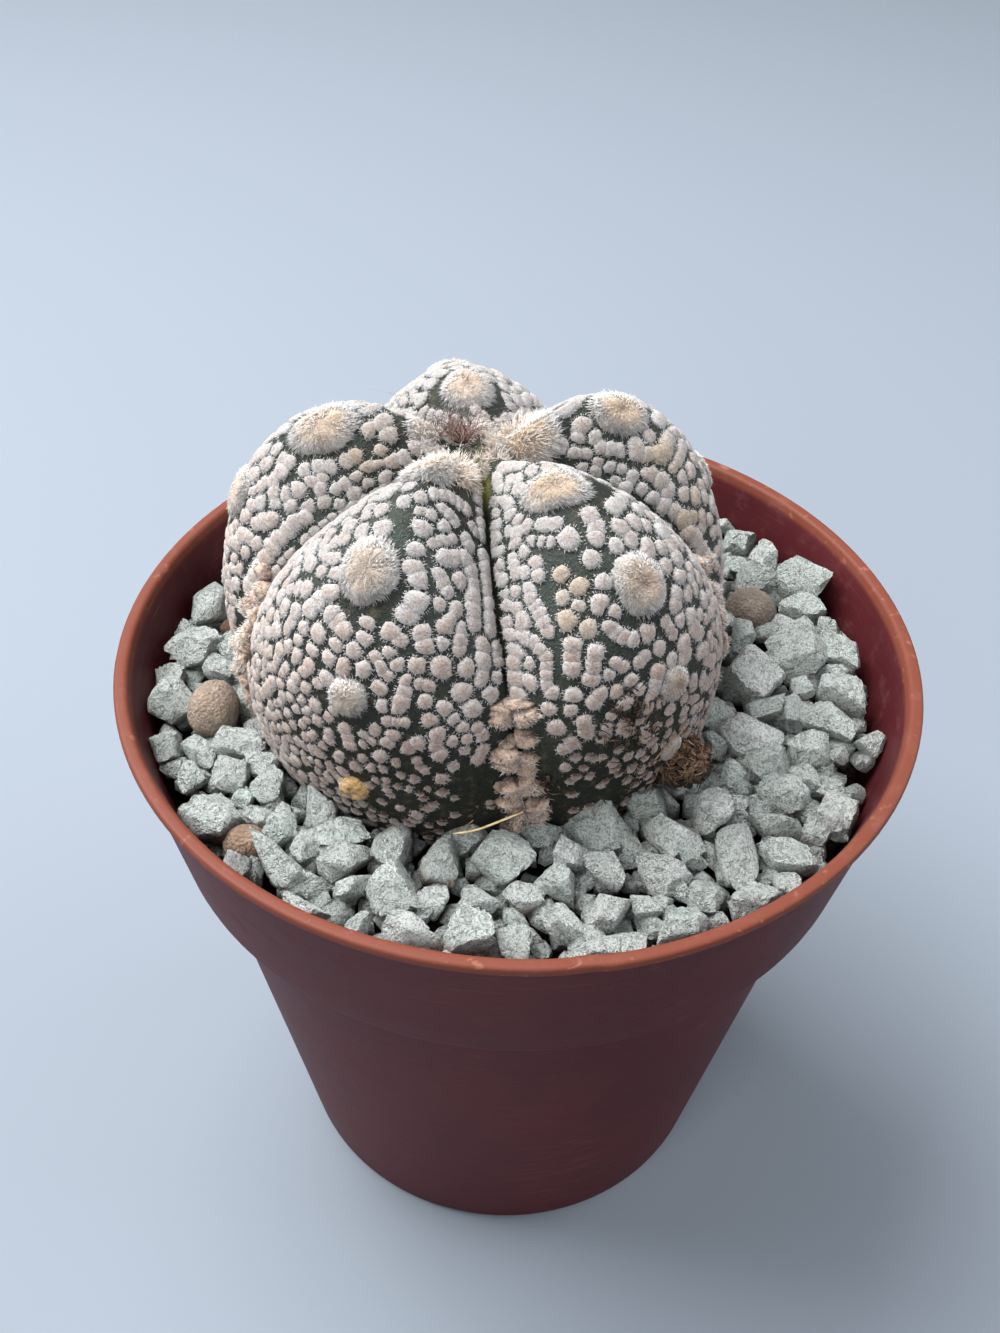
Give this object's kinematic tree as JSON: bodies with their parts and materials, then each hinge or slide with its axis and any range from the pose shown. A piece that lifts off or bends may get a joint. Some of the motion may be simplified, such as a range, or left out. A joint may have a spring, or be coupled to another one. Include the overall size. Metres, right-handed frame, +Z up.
{
  "type": "potted super kabuto star cactus",
  "caption": "Ribbed star cactus with woolly white flecks, standing in pale gravel in a round tapered plastic nursery pot.",
  "frame": {"origin": "centre of the pot's foot ring, on the surface that the pot stands on", "axes": "+Z up along the pot's axis; -Y is the front, where the plant's twin front ribs and the valley between them face; +X is to the right seen from the front"},
  "size_m": [0.09, 0.09, 0.1072],
  "materials": {
    "pot_plastic": "satin",
    "potting_soil": "rough, crumbly",
    "gravel_stone": "rough, grainy",
    "clay": "rough, unglazed",
    "peat": "rough, fibrous",
    "cactus_skin": "satin, finely speckled",
    "cactus_wool": "woolly",
    "dry_straw": "satin",
    "dried_flower": "dry"
  },
  "bodies": {
    "root": {"pot": "pot_plastic", "soil": "potting_soil", "gravel": "gravel_stone", "cactus": "cactus_skin", "clay_pebble_left": "clay", "clay_pebble_right": "clay", "clay_pebble_front": "clay", "bark_bit": "peat", "peat_clump": "peat", "straw": "dry_straw", "flower_remains": "dried_flower"}
  },
  "joints": []
}
